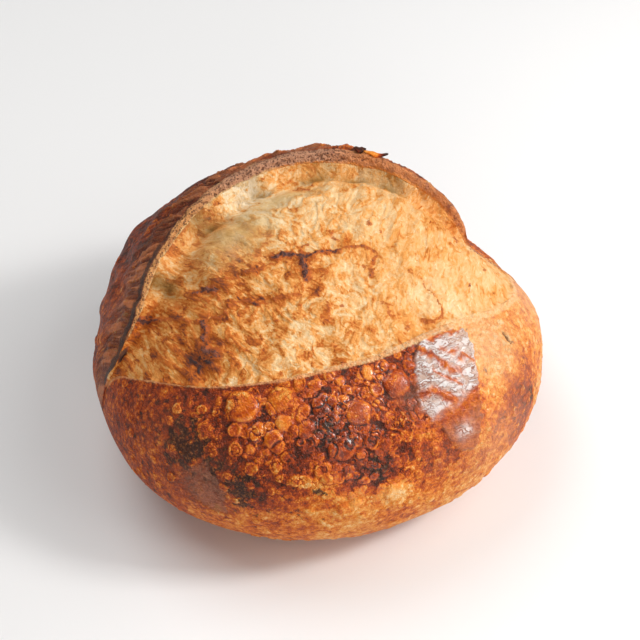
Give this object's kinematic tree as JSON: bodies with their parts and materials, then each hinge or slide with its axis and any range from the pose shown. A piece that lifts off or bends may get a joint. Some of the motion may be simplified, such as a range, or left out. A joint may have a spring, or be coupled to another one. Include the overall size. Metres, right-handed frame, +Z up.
{
  "type": "sourdough loaf",
  "caption": "Round free-standing loaf with a flat base, a domed top opened by one long score, and a raised crust ear along it.",
  "frame": {"origin": "middle of the loaf's box, on the surface that it rests on", "axes": "+X along the score towards its right end, +Y from the front crust to the back behind the ear, +Z up"},
  "size_m": [0.228, 0.2112, 0.1275],
  "materials": {
    "crust": null
  },
  "bodies": {
    "root": {"loaf": "crust"}
  },
  "joints": []
}
